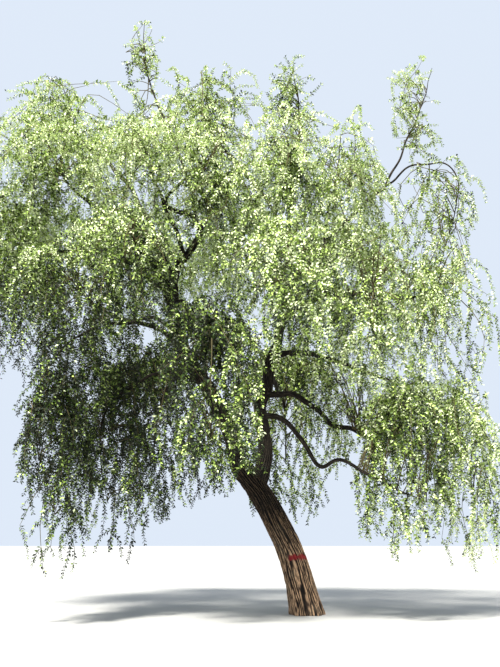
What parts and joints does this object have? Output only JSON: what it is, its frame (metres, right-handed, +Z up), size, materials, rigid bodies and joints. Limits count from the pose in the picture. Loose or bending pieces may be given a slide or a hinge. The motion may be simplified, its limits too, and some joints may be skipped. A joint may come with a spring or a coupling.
{
  "type": "weeping spindle tree",
  "caption": "Mature weeping spindle tree: a leaning forked trunk with dark crooked boughs and a broad, airy crown of hanging fine-leaved shoots.",
  "frame": {"origin": "centre of the flat cut under the trunk at ground level", "axes": "+Z up; the trunk leans towards -X; -Y is the side that the picture shows"},
  "size_m": [11.0835, 9.0511, 12.3029],
  "materials": {
    "bark": "deeply fissured grey-brown bark",
    "limb_bark": "dark rough bark and bare twigs",
    "foliage": "small yellow-green to mid-green leaves"
  },
  "bodies": {
    "root": {"trunk": "bark", "left_stem": "limb_bark", "centre_stem": "limb_bark", "hooked_stem": "limb_bark", "top_stem": "limb_bark", "right_bough": "limb_bark", "stub_bough": "limb_bark", "dipping_bough": "limb_bark", "rising_bough": "limb_bark", "leader_shoot": "limb_bark", "arched_shoot": "limb_bark", "left_level_bough": "limb_bark", "left_low_bough": "limb_bark", "front_centre_bough": "limb_bark", "left_middle_bough": "limb_bark", "left_end_bough": "limb_bark", "front_left_bough": "limb_bark", "front_right_bough": "limb_bark", "right_middle_bough": "limb_bark", "right_end_bough": "limb_bark", "upper_left_bough": "limb_bark", "upper_front_left_bough": "limb_bark", "upper_front_right_bough": "limb_bark", "upper_right_bough": "limb_bark", "top_left_bough": "limb_bark", "top_shoot_bough": "limb_bark", "top_centre_bough": "limb_bark", "back_left_bough": "limb_bark", "back_centre_bough": "limb_bark", "back_right_bough": "limb_bark", "back_low_left_bough": "limb_bark", "back_low_right_bough": "limb_bark", "left_curtain": "foliage", "inner_left_curtain": "foliage", "front_centre": "foliage", "right_curtain": "foliage", "right_low_curtain": "foliage", "left_middle": "foliage", "left_end": "foliage", "front_left": "foliage", "front_right": "foliage", "right_middle": "foliage", "right_end": "foliage", "upper_left": "foliage", "upper_front_left": "foliage", "upper_front": "foliage", "upper_front_right": "foliage", "upper_right": "foliage", "top_left": "foliage", "top_shoot": "foliage", "top_centre": "foliage", "top_tower": "foliage", "right_leader": "foliage", "right_shoulder": "foliage", "right_inner": "foliage", "back_left": "foliage", "back_centre": "foliage", "back_right": "foliage", "back_low_left": "foliage", "back_low_right": "foliage"}
  },
  "joints": []
}
